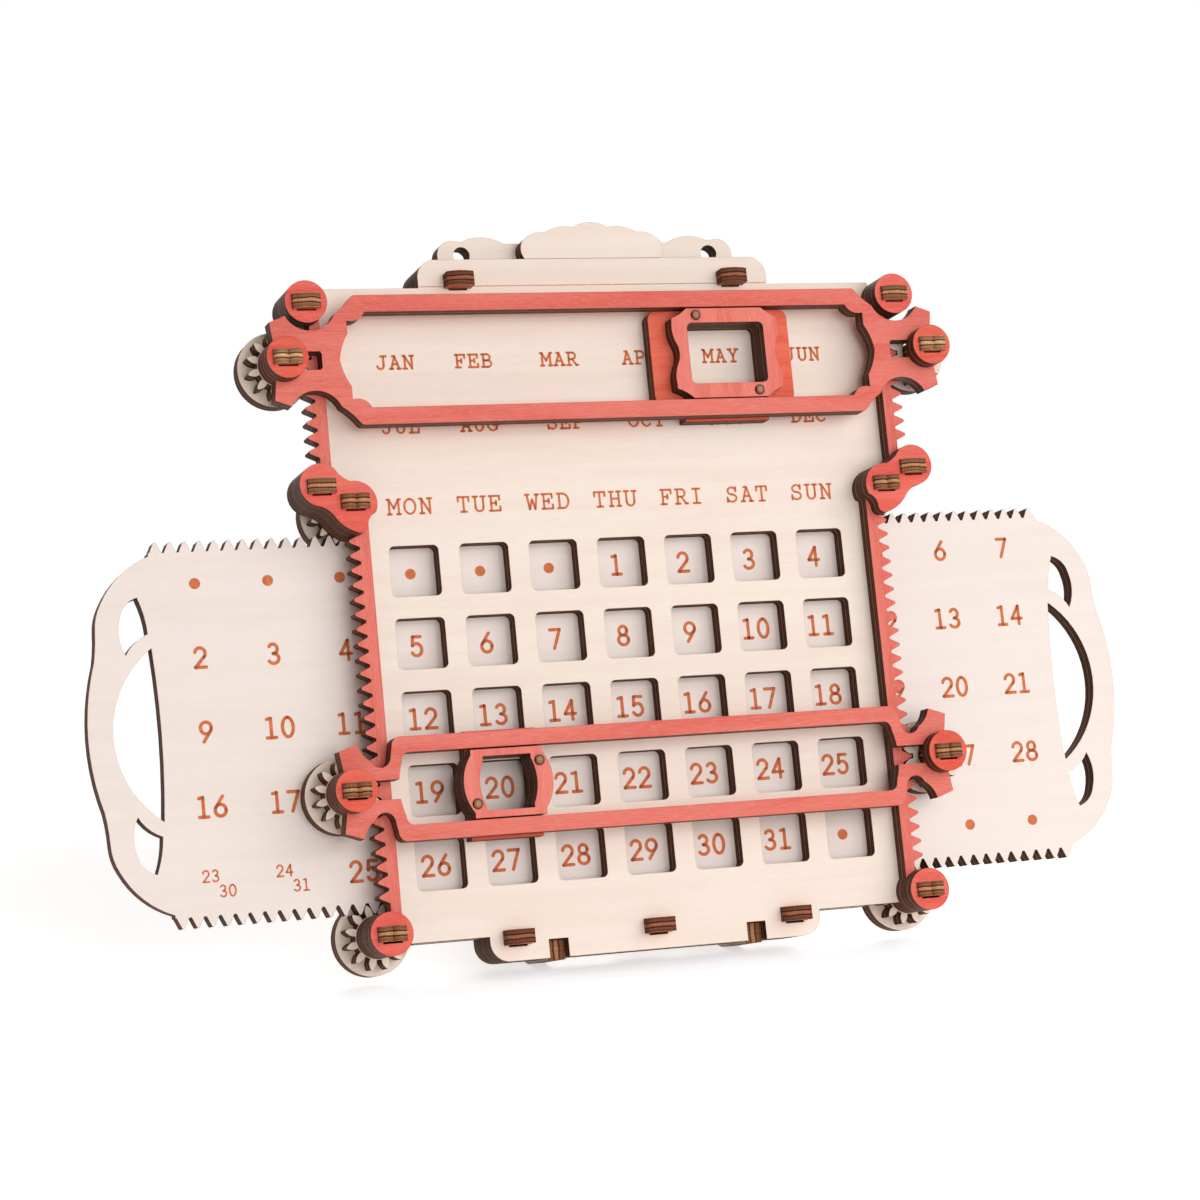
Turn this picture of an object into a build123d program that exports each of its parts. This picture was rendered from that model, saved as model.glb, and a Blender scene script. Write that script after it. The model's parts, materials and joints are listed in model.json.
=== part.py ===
# Wooden sliding calendar on a stand, cut from one thickness of plywood.
# Sketches are drawn on the calendar's face: x to the right, the second axis up the face.
# Depth runs backwards from the front face of the front panel. At the end the whole
# calendar leans back on its stand, with the origin on the desk under the middle of its depth.
import math
import os

from build123d import *

# Plywood and fits
ply = 4.0
slide_gap = 0.2
slot_gap = 0.05
running_gap = 0.06
overrun = 1.0

# Gears and racks
module = 1.0
gear_teeth = 12
pressure_angle = 25.0
dedendum_share = 1.25
flank_gap = 0.06
flank_steps = 4
tip_round = 0.35
flange_radius = 8.1

# Date grid
cell_teeth = 5
columns = 7
rows = 5
window_size = 11.0
window_corner = 1.2

# Columns that carry the racks, and heights measured from the middle row
axle_half_teeth = 39
rack_jog = 7.0
jog_rise = 3.5
month_rise = 30.5
cap_offset = 12.9
rack_back = 3.55
panel_inset = 2.6
cap_radius = 4.6
plate_margin = 0.23

# Bracket outline in cap radii from the axle: corners, and between them the middles of the arcs
bracket_corner_shares = (
    (0.848, 1.565),
    (1.826, -0.130),
    (1.022, -0.630),
    (0.0, -1.424),
    (-0.522, -1.152),
    (-0.946, -0.522),
    (0.130, 0.957),
)
bracket_middle_shares = (
    (2.528, 0.728),
    (1.348, -0.315),
    (0.598, -1.109),
    (-0.380, -1.391),
    (-0.641, -0.761),
    (-0.783, 0.620),
    (0.511, 1.165),
)

# Front panel outline
panel_crown = 4.6
panel_foot = 2.1
tab_half = 40.9
tab_rise = 6.3
tab_corner = 3.6
lip_half = 37.9
lip_drop = 5.5
lip_corner = 4.2

# Crest, name plate and the layers behind the panel
crest_half = 34.7
crest_rise = 5.3
crest_corner = 3.3
crest_side_rise = 1.5
crest_dip = 5.7
crest_lobe_rise = 0.75
crest_lobe_end = 19.3
hang_edge = 5.5
hang_radius = 1.9
hang_rise = 1.95
name_half = 16.7
name_rise = 8.2
name_cusp_shares = ((0.24, 0.865), (0.65, 0.725), (0.97, 0.475), (0.955, 0.0))
name_lobe_shares = ((0.13, 0.965), (0.41, 0.885), (0.835, 0.68), (1.0, 0.25))
backing_half = 60.0
backing_gap = 3.0
back_half = 52.4
spacer_gap = 1.6

# Flat pegs, cut from a thinner sheet
peg_ply = 3.1
peg_width = 6.1
peg_tip = 1.7
peg_dome = 0.85
peg_valley = 0.9
peg_head = 8.4
head_clear = 0.1
relief_width = 4.2
relief_depth = 0.4
stack_tip = 3.9
stack_head = 9.6
tab_peg_x = 32.0
tab_peg_rise = 1.4
lip_peg_x = 31.8
lip_peg_drop = 0.5

# Date plate and its handles
table_columns = 13
handle_reach = 15.3
handle_shoulder = 1.9
grip_half = 18.2
grip_depth = 9.3
grip_wall = 0.75
grip_bow = 0.8

# Handle outline and vents as shares of the reach and of the plate's half height: arc middles and ends in turn
handle_bow_shares = (
    (0.453, 0.841),
    (0.701, 0.709),
    (0.776, 0.638),
    (0.803, 0.562),
    (0.816, 0.481),
    (0.848, 0.395),
)
vent_start_share = (0.084, 0.537)
vent_shares = (
    (0.250, 0.500),
    (0.407, 0.428),
    (0.482, 0.532),
    (0.446, 0.635),
    (0.355, 0.699),
    (0.198, 0.734),
    (0.120, 0.638),
)

# Month cursor
month_half_height = 14.1
month_rail = 3.7
month_rail_inset = 10.8
month_rail_round = 1.2
month_arm = 2.45
month_arm_tip = 10.3
month_arm_shoulder = 8.45
month_scallop = 6.0
month_scallop_drop = 0.4
month_step_inset = 5.4
month_step_height = 9.75
month_step_sag = 0.35
month_opening_end = 62.0
month_opening_half = 55.8
month_opening_shares = ((0.20, 0.86), (0.66, 0.82), (0.66, 0.55))
month_slot_lead = 8.4
month_slot_corner = 0.7
knob_radius = 4.5

# Month slider
month_rest_x = 26.5
month_front_half = 12.7
month_front_height = 10.1
month_front_shares = ((0.70, 1.0), (0.845, 0.865), (0.99, 0.785), (1.0, 0.54))
month_waist_shares = ((0.985, 0.40), (0.945, 0.25), (0.905, 0.12), (0.893, 0.0))
month_pane_half = 9.05
month_pane_height = 6.85
month_base_half = 16.6
month_base_height = 10.5
month_base_corner = 2.0
month_ear_half = 10.0
month_ear_height = 14.6
pane_corner = 1.2
dowel_radius = 1.1
dowel_proud = 0.4
dowel_flat_share = 0.88
month_dowel_shares = (-0.53, 0.85)

# Date cursor, at rest below the middle row
rest_rows_down = 1
date_half_height = 11.0
date_rail = 3.4
date_rail_inset = 5.0
date_arm_back = 1.5
date_arm_flare = 0.65
date_arm_shares = ((-0.341, 0.94), (-0.295, 0.82), (-0.255, 0.61))
date_notch_shares = ((-0.10, 0.432), (0.125, 0.555), (0.288, 0.704), (0.378, 0.905))
date_arm_tip_share = 0.78
date_opening_half = 54.6
date_opening_bow = 2.45
date_opening_shares = ((0.41, 0.93), (0.59, 0.77), (0.88, 0.42))

# Date slider
date_rest_x = -33.1
date_front_half = 9.9
date_front_height = 7.25
date_front_share = 0.80
date_side_share = 0.84
date_pane_half = 5.3
date_pane_height = 5.75
date_pane_bow = 1.05
date_ear_half = 8.0
date_ear_height = 11.6
date_dowel_shares = (0.73, 0.58)

# Stand
lean = 16.0
leg_x = 22.7
leg_inset = 2.6
leg_foot = 0.5
notch_height = 4.0
heel_depth = 17.0
heel_length = 8.0
toe_depth = 60.0
toe_length = 14.0
toe_height = 5.0
arch_rise = 5.0
leg_height = 92.0
leg_top = 4.0
leg_hole_radius = 8.0
leg_hole_share = 0.467
leg_hole_rise = 30.0
leg_tab_height = 12.0
leg_tab_rise = 70.0
tie_share = 0.733
tie_rise = 24.0
tie_height = 14.0
tenon_height = 7.0

# Sizes that follow from the driving dimensions
tooth_pitch = math.pi * module
pitch_radius = module * gear_teeth / 2
cell = cell_teeth * tooth_pitch
dedendum = dedendum_share * module
root_radius = pitch_radius - dedendum
flank_slope = math.tan(math.radians(pressure_angle))
half_tooth = tooth_pitch / 4 - flank_gap
lower_x = axle_half_teeth * tooth_pitch / 2
upper_x = lower_x + rack_jog
plate_pitch_z = rows * cell / 2 + plate_margin
axle_z = plate_pitch_z + pitch_radius
jog_z = axle_z + jog_rise
month_z = axle_z + month_rise
top_cap_z = month_z + cap_offset
date_z = -rest_rows_down * cell
panel_top = top_cap_z + panel_crown
panel_bottom = -(axle_z + panel_foot)
tab_top = panel_top + tab_rise
lip_bottom = panel_bottom - lip_drop
bore_radius = math.hypot(peg_width, peg_ply) / 2 + running_gap
flange_bore = math.hypot(peg_head, peg_ply) / 2 + head_clear

# Depth of each layer's front face
panel_front = 0
rack_front = -ply
cap_front = rack_front - ply
frame_back = rack_front - slide_gap
frame_front = frame_back - ply
knob_front = frame_front - ply
plate_front = ply + slide_gap
spacer_front = ply
spacer_depth = ply + 2 * slide_gap
back_front = spacer_front + spacer_depth
back_face = back_front + ply
gear_depth = ply + slide_gap
flange_depth = ply - slide_gap
cursor_gear_front = rack_front
cursor_flange_front = cursor_gear_front + gear_depth
date_gear_front = plate_front
date_flange_front = date_gear_front + gear_depth

# The desk as seen from the calendar's face: it rises towards the back
heel_z = lip_bottom - leg_foot
leg_hole_depth = leg_hole_share * toe_depth
tie_depth = tie_share * toe_depth
desk_slope = math.tan(math.radians(lean))


def desk_z(depth):
    return heel_z + (depth - heel_depth) * desk_slope


# A face from a start point and steps: a point for a line, a pair of points for an arc
def closed_face(start, *steps):
    edges = []
    here = start
    for step in steps + (start,):
        if isinstance(step[0], tuple):
            edges.append(ThreePointArc(here, step[0], step[1]))
            here = step[1]
        elif math.dist(here, step) > 0:
            edges.append(Line(here, step))
            here = step
    return make_face(edges)


def flip_x(shape):
    return mirror(shape, about=Plane.YZ)


def flip_z(shape):
    return mirror(shape, about=Plane.XZ)


def both_sides(shape):
    return shape + flip_x(shape)


def four_ways(shape):
    half = shape + flip_z(shape)
    return half + flip_x(half)


def at(x, z, shape):
    return Pos(x, z) * shape


def box(left, right, bottom, top):
    return at((left + right) / 2, (bottom + top) / 2, Rectangle(right - left, top - bottom))


# Turns a flat face into a plate whose front lies at the given depth
def plate(face, front, thickness=ply):
    return Pos(0, front + thickness, 0) * Rot(90, 0, 0) * extrude(face, thickness)


# A flat peg's outline is drawn from above: x across, the second axis to the back
def flat_peg(face, x, z):
    return Pos(x, 0, z - peg_ply / 2) * extrude(face, peg_ply)


# A peg's slot with a narrow relief under the peg
def peg_slot():
    relief_bottom = -peg_ply / 2 - slot_gap - relief_depth
    return plain_slot() + box(-relief_width / 2, relief_width / 2, relief_bottom, 0)


def plain_slot():
    return Rectangle(peg_width + 2 * slot_gap, peg_ply + 2 * slot_gap)


# One involute flank as radius and half angle of the tooth, from root to tip
def flank_points():
    base = pitch_radius * math.cos(math.radians(pressure_angle))
    tip = pitch_radius + module

    def involute(radius):
        angle = math.acos(min(1, base / radius))
        return math.tan(angle) - angle

    half_at_pitch = half_tooth / pitch_radius
    points = []
    for step in range(flank_steps + 1):
        radius = base + (tip - base) * step / flank_steps
        points.append((radius, half_at_pitch + involute(pitch_radius) - involute(radius)))
    return [(root_radius, points[0][1])] + points


# The first tooth space faces the rack, whose direction is given in degrees
def gear_face(towards):
    flank = flank_points()
    outline = []
    for tooth in range(gear_teeth):
        middle = math.radians(towards) + (tooth + 1 / 2) * 2 * math.pi / gear_teeth
        rising = [(radius, middle - half) for radius, half in flank]
        falling = [(radius, middle + half) for radius, half in reversed(flank)]
        outline += [(radius * math.cos(turn), radius * math.sin(turn)) for radius, turn in rising + falling]
    return make_face(Polyline(*outline, close=True)) - Circle(bore_radius)


# Outline steps of a row of rack teeth with round tips. The spot function turns a place
# along the rack and a height over the pitch line into a point; way is -1 for a row walked backwards.
def rack_teeth(centres, spot, way=1):
    root = way * (half_tooth + dedendum * flank_slope)
    shoulder = module - tip_round
    tip = way * (half_tooth - shoulder * flank_slope)
    steps = []
    for centre in centres:
        steps += [spot(centre - root, -dedendum), spot(centre - tip, shoulder)]
        steps += [(spot(centre, module), spot(centre + tip, shoulder)), spot(centre + root, -dedendum)]
    return steps


def window_grid():
    pane = RectangleRounded(window_size, window_size, window_corner)
    grid = Sketch()
    for column in range(columns):
        for row in range(rows):
            grid += at((column - (columns - 1) / 2) * cell, (row - (rows - 1) / 2) * cell, pane)
    return grid


# Three lobes over the jog of the right-hand rack
def jog_face():
    def spots(shares):
        return [(lower_x + cap_radius * x, axle_z + cap_radius * z) for x, z in shares]

    corners = spots(bracket_corner_shares)
    arcs = zip(spots(bracket_middle_shares), corners[1:] + corners[:1])
    return closed_face(corners[0], *arcs)


def jog_slots():
    return at(lower_x, axle_z, peg_slot()) + at(upper_x, jog_z, peg_slot())


def corner_slots():
    return at(upper_x, top_cap_z, peg_slot()) + at(lower_x, -axle_z, peg_slot())


# The raised tab at the top, shared by the panel, the crest plate and the back panel
def tab_face(bottom):
    half = closed_face(
        (0, bottom),
        (tab_half, bottom),
        (tab_half, tab_top - tab_corner),
        ((tab_half - tab_corner / 3, tab_top - tab_corner / 3), (tab_half - tab_corner, tab_top)),
        (0, tab_top),
    )
    return both_sides(half)


def tab_slots():
    return both_sides(at(tab_peg_x, panel_top + tab_peg_rise, peg_slot()))


# The lip at the bottom, with two notches for the legs
def lip_face(top):
    bend = lip_corner * (1 - math.sqrt(1 / 2))
    half = closed_face(
        (0, top),
        (lip_half, top),
        (lip_half, lip_bottom + lip_corner),
        ((lip_half - bend, lip_bottom + bend), (lip_half - lip_corner, lip_bottom)),
        (0, lip_bottom),
    )
    notch_side = ply / 2 + slide_gap
    notch = box(leg_x - notch_side, leg_x + notch_side, lip_bottom - overrun, lip_bottom + notch_height)
    return both_sides(half - notch)


def lip_slots():
    height = panel_bottom - lip_peg_drop
    return both_sides(at(lip_peg_x, height, peg_slot())) + at(0, height, peg_slot())


def front_panel():
    upper = box(0, upper_x - panel_inset, axle_z, panel_top)
    lower = box(0, lower_x - panel_inset, panel_bottom, jog_z)
    lugs = at(upper_x, top_cap_z, Circle(cap_radius)) + at(lower_x, -axle_z, Circle(cap_radius)) + jog_face()
    body = both_sides(upper + lower + lugs - corner_slots() - jog_slots())
    body += tab_face(panel_top - overrun) + lip_face(panel_bottom + overrun)
    return plate(body - tab_slots() - lip_slots() - window_grid(), panel_front)


def crest_plate():
    backing = box(-backing_half, backing_half, jog_z + cap_radius + backing_gap, panel_top)
    ear_top = tab_top + crest_rise
    dip_x = crest_half - crest_dip
    lobe_foot = ear_top - crest_lobe_rise
    bend = crest_corner * (1 - math.sqrt(1 / 2))
    ear = closed_face(
        (0, tab_top - tab_rise),
        (crest_half, tab_top - tab_rise),
        (crest_half, tab_top + crest_side_rise),
        ((crest_half - bend, ear_top - bend), (crest_half - crest_corner, ear_top)),
        (dip_x, ear_top - crest_lobe_rise / 3),
        (((dip_x + crest_lobe_end) / 2, ear_top + crest_lobe_rise), (crest_lobe_end, lobe_foot)),
        (0, lobe_foot),
    )
    holes = at(crest_half - hang_edge, tab_top + hang_rise, Circle(hang_radius))
    body = backing + tab_face(panel_top - overrun) + both_sides(ear - holes)
    return plate(body - tab_slots(), spacer_front, spacer_depth)


# Scalloped plate on the tab: each lobe is an arc, the outer ones stepping down
def name_plate():
    def spots(shares):
        return [(name_half * x, tab_top + slot_gap + name_rise * z) for x, z in shares]

    arcs = zip(spots(name_lobe_shares), spots(name_cusp_shares))
    half = closed_face((0, tab_top + slot_gap + name_rise), *arcs, (0, tab_top + slot_gap))
    return plate(both_sides(half), panel_front)


def back_panel():
    body = box(-back_half, back_half, panel_bottom, panel_top)
    body += tab_face(panel_top - overrun) + lip_face(panel_bottom + overrun)
    body -= tab_slots() + lip_slots()
    tab_bottom = lip_bottom + leg_tab_rise - slot_gap
    leg_side = ply / 2 + slot_gap
    leg_slot = box(leg_x - leg_side, leg_x + leg_side, tab_bottom, tab_bottom + leg_tab_height + 2 * slot_gap)
    return plate(body - both_sides(leg_slot), back_front)


def lip_spacer():
    face = lip_face(-(plate_pitch_z + module + spacer_gap))
    return plate(face - lip_slots(), spacer_front, spacer_depth)


# The right-hand rack: an outer stretch at the top, a jog, an inner stretch below
def rack_face():
    top = [month_z + tooth_pitch * step for step in range(-6, 3)]
    low = [tooth_pitch * step for step in range(-12, 13)]
    face = jog_face() + at(upper_x, top_cap_z, Circle(cap_radius)) + at(lower_x, -axle_z, Circle(cap_radius))
    for column, teeth, start, end in ((upper_x, top, jog_z, top_cap_z), (lower_x, low, -axle_z, axle_z)):
        steps = rack_teeth(teeth, lambda place, height: (column + height, place))
        steps += [(column - dedendum, end), (column - rack_back, end)]
        face += closed_face((column - rack_back, start), (column - dedendum, start), *steps)
    return face - corner_slots() - jog_slots()


def cap_face():
    return Circle(cap_radius) - peg_slot()


# A peg's tip is one dome; an axle peg's tip is two humps, and its head sits in the flange
def peg_face(tip_front, back):
    half = peg_width / 2
    shoulder = tip_front + peg_dome
    return closed_face((-half, back), (half, back), (half, shoulder), ((0, tip_front), (-half, shoulder)))


def humped_face(tip_front, back):
    half = peg_width / 2
    shoulder = tip_front + peg_dome
    return closed_face(
        (-half, back),
        (half, back),
        (half, shoulder),
        ((half / 2, tip_front), (0, tip_front + peg_valley)),
        ((-half / 2, tip_front), (-half, shoulder)),
    )


def rack_pegs():
    face = peg_face(cap_front - peg_tip, ply)
    places = ((upper_x, top_cap_z), (upper_x, jog_z))
    return [flat_peg(face, side * x, z) for side in (-1, 1) for x, z in places]


def stack_pegs():
    head = box(-stack_head / 2, stack_head / 2, back_face, back_face + ply)
    face = peg_face(panel_front - stack_tip, back_face) + head
    tab_places = [(side * tab_peg_x, panel_top + tab_peg_rise) for side in (-1, 1)]
    lip_places = [(side * lip_peg_x, panel_bottom - lip_peg_drop) for side in (-1, 0, 1)]
    return [flat_peg(face, x, z) for x, z in tab_places + lip_places]


def axle_face(tip_front, flange_front):
    head_front = flange_front + slide_gap
    head_back = flange_front + flange_depth
    head = box(-peg_head / 2, peg_head / 2, head_front, head_back)
    return humped_face(tip_front, head_back) + head


def plate_axle_pegs():
    face = axle_face(cap_front - peg_tip, date_flange_front)
    return [flat_peg(face, x, z) for x in (-lower_x, lower_x) for z in (-axle_z, axle_z)]


def cursor_pegs(axle_x, z):
    face = axle_face(knob_front - peg_tip, cursor_flange_front)
    return [flat_peg(face, side * axle_x, z) for side in (-1, 1)]


def flange_face():
    return Circle(flange_radius) - Circle(flange_bore)


# Half of the date plate to the right of the middle, with its teeth and handle
def plate_outline():
    last = axle_half_teeth / 2 % 1 + (table_columns * cell_teeth) // 2
    reach = last * tooth_pitch
    teeth = [step * tooth_pitch for step in half_steps(last)]
    edge = reach + tooth_pitch / 2
    shoulder = plate_pitch_z - handle_shoulder
    end = edge + handle_reach
    bow = handle_spots(edge, handle_bow_shares)
    low = [(x, -z) for x, z in reversed(bow)]
    steps = rack_teeth(teeth, lambda place, height: (place, plate_pitch_z + height))
    steps += [(edge, plate_pitch_z - dedendum), (edge, shoulder)]
    steps += list(zip(bow[0::2], bow[1::2])) + [((end, 0), low[0])]
    steps += list(zip(low[1::2], low[2::2] + [(edge, -shoulder)]))
    steps += [(edge, dedendum - plate_pitch_z)]
    steps += rack_teeth(reversed(teeth), lambda place, height: (place, -plate_pitch_z - height), -1)
    steps += [(0, dedendum - plate_pitch_z)]
    return closed_face((0, plate_pitch_z - dedendum), *steps), edge


def handle_spots(edge, shares):
    return [(edge + handle_reach * x, plate_pitch_z * z) for x, z in shares]


# Tooth places in tooth pitches, half a pitch off the middle
def half_steps(last):
    return [step + 1 / 2 for step in range(int(last + 1 / 2))]


def date_plate():
    body, edge = plate_outline()
    chord = edge + grip_wall
    low_end, high_end = (chord, -grip_half), (chord, grip_half)
    grip = closed_face(low_end, ((chord - grip_bow, 0), high_end), ((chord + grip_depth, 0), low_end))
    start = handle_spots(edge, [vent_start_share])
    points = handle_spots(edge, vent_shares) + start
    vent = closed_face(start[0], *zip(points[0::2], points[1::2]))
    body -= grip + vent + flip_z(vent)
    return plate(both_sides(body), plate_front)


# The month cursor's quarter, with the ornamented end
def month_frame():
    axle_x = upper_x + pitch_radius
    rail_end = upper_x - month_rail_inset
    arm_x = axle_x + month_arm
    step_start = (rail_end + month_rail_round, month_half_height - month_rail_round / 2)
    step_end = (upper_x - month_step_inset, month_step_height)
    step_middle = ((step_start[0] + step_end[0]) / 2, (step_start[1] + step_end[1]) / 2 - month_step_sag)
    round_middle = (rail_end + month_rail_round * 2 / 3, month_half_height - month_rail_round / 6)
    quarter = closed_face(
        (0, 0),
        (0, month_half_height),
        (rail_end, month_half_height),
        (round_middle, step_start),
        (step_middle, step_end),
        (axle_x - month_arm, month_arm_tip),
        (arm_x, month_arm_shoulder),
        (arm_x - month_arm / 5, knob_radius),
        (arm_x - month_arm / 5, 0),
    )
    scallop = Circle(month_scallop)
    quarter -= at(upper_x - month_scallop_drop, cap_offset - month_scallop_drop, scallop)
    inner = month_half_height - month_rail
    reach = month_opening_end - month_opening_half
    corner = [(month_opening_half + reach * x, inner * z) for x, z in month_opening_shares]
    opening = closed_face(
        (0, 0),
        (0, inner),
        (month_opening_half, inner),
        (corner[0], corner[1]),
        corner[2],
        ((month_opening_end - reach / 9, corner[2][1] / 2), (month_opening_end, 0)),
    )
    body = four_ways(quarter) + both_sides(at(axle_x, 0, Circle(cap_radius)))
    slot = at(axle_x - month_slot_lead / 2, 0, RectangleRounded(month_slot_lead, ply, month_slot_corner))
    body -= four_ways(opening) + both_sides(slot + at(axle_x, 0, plain_slot()))
    return plate(at(0, month_z, body), frame_front)


def slider_base(ears_half, ears_height, field):
    return field + Rectangle(2 * ears_half, 2 * ears_height)


# Hollow corners, and a waist for two fingers on each side
def month_front_face():
    def spots(shares):
        return [(month_front_half * x, month_front_height * z) for x, z in shares]

    top, hollow, shoulder, side = spots(month_front_shares)
    bulge, turn, dip, waist = spots(month_waist_shares)
    start = (0, month_front_height)
    return four_ways(closed_face((0, 0), start, top, (hollow, shoulder), side, (bulge, turn), (dip, waist)))


def month_pane():
    return RectangleRounded(2 * month_pane_half, 2 * month_pane_height, pane_corner)


# Dowels sit in two opposite corners of a slider
def dowel_places(half, height, shares):
    return [(side * half * shares[0], side * height * shares[1]) for side in (-1, 1)]


def dowel_holes(places):
    holes = Sketch()
    for x, z in places:
        holes += at(x, z, Circle(dowel_radius + slot_gap))
    return holes


def slider_pieces(name, x, z, base, front, pane, places):
    holes = dowel_holes(places)
    base_depth = ply - slide_gap
    dowel_front = cap_front - dowel_proud
    dowel_length = rack_front + base_depth - dowel_front
    section = Circle(dowel_radius) & Rectangle(2 * dowel_radius * dowel_flat_share, 2 * dowel_radius)
    dowels = [plate(at(x + px, z + pz, section), dowel_front, dowel_length) for px, pz in places]
    return {
        name + "_base": plate(at(x, z, base - pane - holes), rack_front, base_depth),
        name + "_front": plate(at(x, z, front - pane - holes), cap_front),
        name + "_dowels": dowels,
    }


def month_slider():
    field = RectangleRounded(2 * month_base_half, 2 * month_base_height, month_base_corner)
    base = slider_base(month_ear_half, month_ear_height, field)
    places = dowel_places(month_front_half, month_front_height, month_dowel_shares)
    front = month_front_face()
    return slider_pieces("month_slider", month_rest_x, month_z, base, front, month_pane(), places)


# The date cursor's quarter: two short arms around the axle, an opening with bowed ends
def date_frame():
    axle_x = lower_x + pitch_radius
    tip_x = axle_x + date_arm_back

    def spots(shares):
        return [(lower_x + date_half_height * x, date_half_height * z) for x, z in shares]

    round_middle, notch_top, notch_start = spots(date_arm_shares)
    notch_bottom, notch_end, arm_middle, arm_tip = spots(date_notch_shares)
    quarter = closed_face(
        (0, 0),
        (0, date_half_height),
        (lower_x - date_rail_inset, date_half_height),
        (round_middle, notch_top),
        notch_start,
        (notch_bottom, notch_end),
        (arm_middle, arm_tip),
        (tip_x + date_arm_flare, date_half_height * date_arm_tip_share),
        (tip_x, knob_radius),
        (tip_x, 0),
    )
    inner = date_half_height - date_rail
    shares = [(date_opening_half + date_opening_bow * x, inner * z) for x, z in date_opening_shares]
    corner_middle, corner_end, bow_middle = shares
    opening = closed_face(
        (0, 0),
        (0, inner),
        (date_opening_half, inner),
        (corner_middle, corner_end),
        (bow_middle, (date_opening_half + date_opening_bow, 0)),
    )
    body = four_ways(quarter) + both_sides(at(axle_x, 0, Circle(cap_radius)))
    channel = box(date_opening_half, axle_x, -ply / 2 - slot_gap, ply / 2 + slot_gap)
    body -= four_ways(opening) + both_sides(channel + at(axle_x, 0, plain_slot()))
    return plate(at(0, date_z, body), frame_front)


# An upright shape whose two sides bow outwards between short straight ends
def bowed_face(flat_half, height, bow_half):
    side = height * date_side_share
    return closed_face(
        (-flat_half, -height),
        (flat_half, -height),
        (flat_half, -side),
        ((bow_half, 0), (flat_half, side)),
        (flat_half, height),
        (-flat_half, height),
        (-flat_half, side),
        ((-bow_half, 0), (-flat_half, -side)),
    )


def date_slider():
    front = bowed_face(date_front_half * date_front_share, date_front_height, date_front_half)
    pane = bowed_face(date_pane_half, date_pane_height, date_pane_half + date_pane_bow)
    base = slider_base(date_ear_half, date_ear_height, front)
    places = dowel_places(date_front_half, date_front_height, date_dowel_shares)
    return slider_pieces("date_slider", date_rest_x, date_z, base, front, pane, places)


# A stand leg: hooked through the lip, flat against the back panel, heel and toe on the desk
def stand_leg(x):
    top = lip_bottom + leg_height
    arch_start = heel_depth + heel_length
    arch_end = toe_depth - toe_length
    arch_middle = (arch_start + arch_end) / 2
    profile = closed_face(
        (leg_inset, heel_z),
        (heel_depth, heel_z),
        (arch_start, desk_z(arch_start)),
        ((arch_middle, desk_z(arch_middle) + arch_rise), (arch_end, desk_z(arch_end))),
        (toe_depth, desk_z(toe_depth)),
        (toe_depth, desk_z(toe_depth) + toe_height),
        (back_face + leg_top, top - leg_top),
        (back_face + leg_top / 2, top),
        (back_face, top),
        (back_face, lip_bottom + notch_height - slide_gap),
        (leg_inset, lip_bottom + notch_height - slide_gap),
    )
    tab_bottom = lip_bottom + leg_tab_rise
    profile += box(back_front + slide_gap, back_face + overrun, tab_bottom, tab_bottom + leg_tab_height)
    profile -= at(leg_hole_depth, lip_bottom + leg_hole_rise, Circle(leg_hole_radius))
    profile -= tie_section(tenon_height + 2 * slot_gap, ply + 2 * slot_gap)
    return Pos(x - ply / 2, 0, 0) * Plane.YZ.location * extrude(profile, ply)


def tie_section(height, depth):
    return at(tie_depth, lip_bottom + tie_rise, Rectangle(depth, height))


def stand_tie():
    inner = leg_x - ply / 2
    body = at(0, lip_bottom + tie_rise, Rectangle(2 * inner, tie_height))
    tenons = at(0, lip_bottom + tie_rise, Rectangle(2 * inner + 2 * ply, tenon_height))
    return plate(body + tenons, tie_depth - ply / 2)


# A gear and the flange disc glued to its back
def gear_pair(name, x, z, towards, gear_front):
    return {
        name: plate(at(x, z, gear_face(towards)), gear_front, gear_depth),
        name + "_flange": plate(at(x, z, flange_face()), gear_front + gear_depth, flange_depth),
    }


def cursor_pieces(name, axle_x, z):
    pieces = {name + "_axle_pegs": cursor_pegs(axle_x, z)}
    for side_name, side, towards in (("left", -1, 0), ("right", 1, 180)):
        knob = Circle(knob_radius) - peg_slot()
        pieces[f"{name}_{side_name}_knob"] = plate(at(side * axle_x, z, knob), knob_front)
        pieces.update(gear_pair(f"{name}_{side_name}_gear", side * axle_x, z, towards, cursor_gear_front))
    return pieces


def date_gears():
    pieces = {}
    for level, z, towards in (("upper", axle_z, -90), ("lower", -axle_z, 90)):
        for side_name, x in (("left", -lower_x), ("right", lower_x)):
            name = f"plate_{level}_{side_name}_gear"
            pieces.update(gear_pair(name, x, z, towards, date_gear_front))
    return pieces


def side_pieces():
    pieces = {}
    for side_name, turn in (("left", flip_x), ("right", lambda shape: shape)):
        pieces[side_name + "_rack"] = plate(turn(rack_face()), rack_front)
        pieces[side_name + "_bracket_cap"] = plate(turn(jog_face() - jog_slots()), cap_front)
        corners = {"top": (upper_x, top_cap_z), "bottom": (lower_x, -axle_z)}
        for level, (x, z) in corners.items():
            name = f"{level}_{side_name}_corner_cap"
            pieces[name] = plate(turn(at(x, z, cap_face())), cap_front)
    pieces["left_stand_leg"] = stand_leg(-leg_x)
    pieces["right_stand_leg"] = stand_leg(leg_x)
    return pieces


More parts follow.
